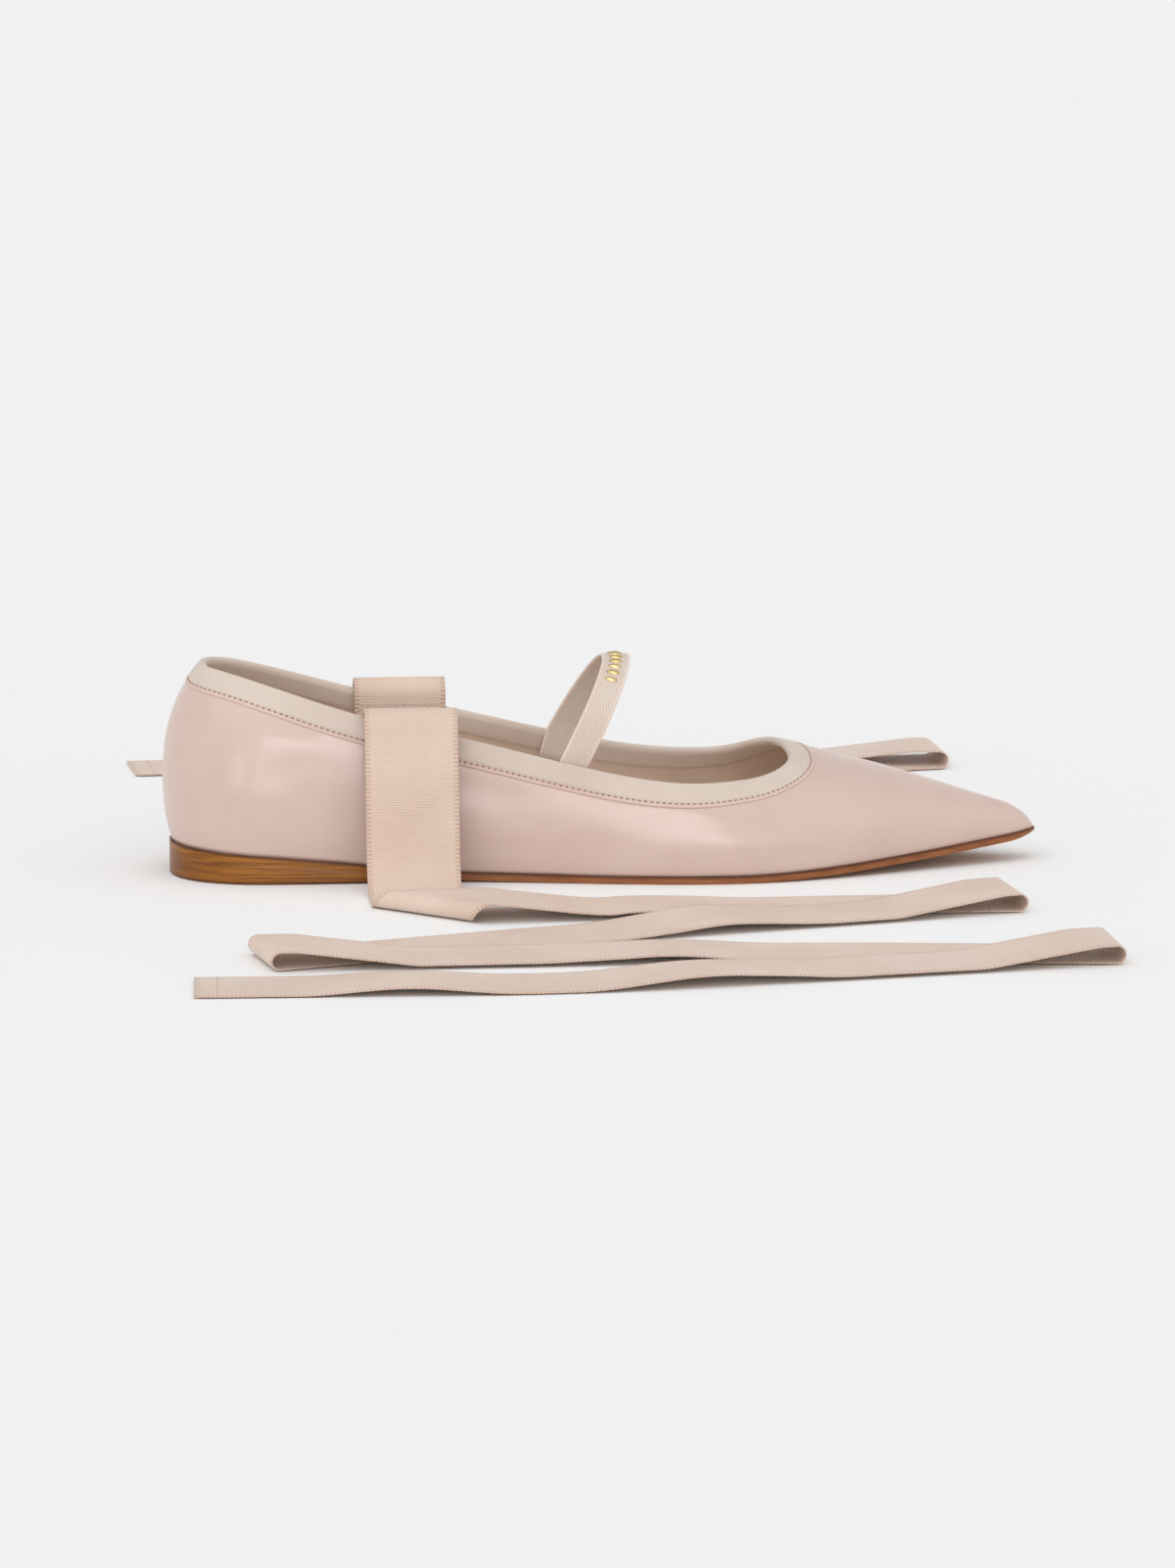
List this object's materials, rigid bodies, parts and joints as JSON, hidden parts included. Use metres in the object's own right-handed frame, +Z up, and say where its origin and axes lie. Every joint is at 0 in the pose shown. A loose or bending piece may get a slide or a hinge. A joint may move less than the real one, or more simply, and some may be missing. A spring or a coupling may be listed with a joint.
{
  "type": "ballet flat",
  "caption": "Pointed slip-on ballet flat for the right foot, with a low heel, a narrow elastic strap over the instep and two long ankle ribbons lying loose on the floor.",
  "frame": {"origin": "under the middle of the shoe's length and width, on the floor it stands on, ribbons left out", "axes": "+X from the heel to the toe, +Y towards the inner side of the foot, +Z up"},
  "size_m": [0.274, 0.4165, 0.0652],
  "materials": {
    "nappa": "smooth pale pink nappa",
    "sole_leather": "polished brown sole leather",
    "heel_leather": "stacked brown leather with a long grain",
    "lining": "matt beige lining leather",
    "elastic": "fine ribbed elastic",
    "satin": "pale pink satin ribbon"
  },
  "bodies": {
    "root": {"upper": "nappa", "outsole": "sole_leather", "heel": "heel_leather", "insole": "lining", "vamp_strap": "elastic", "ribbon_tie_outer": "satin", "ribbon_tie_inner": "satin"}
  },
  "joints": []
}
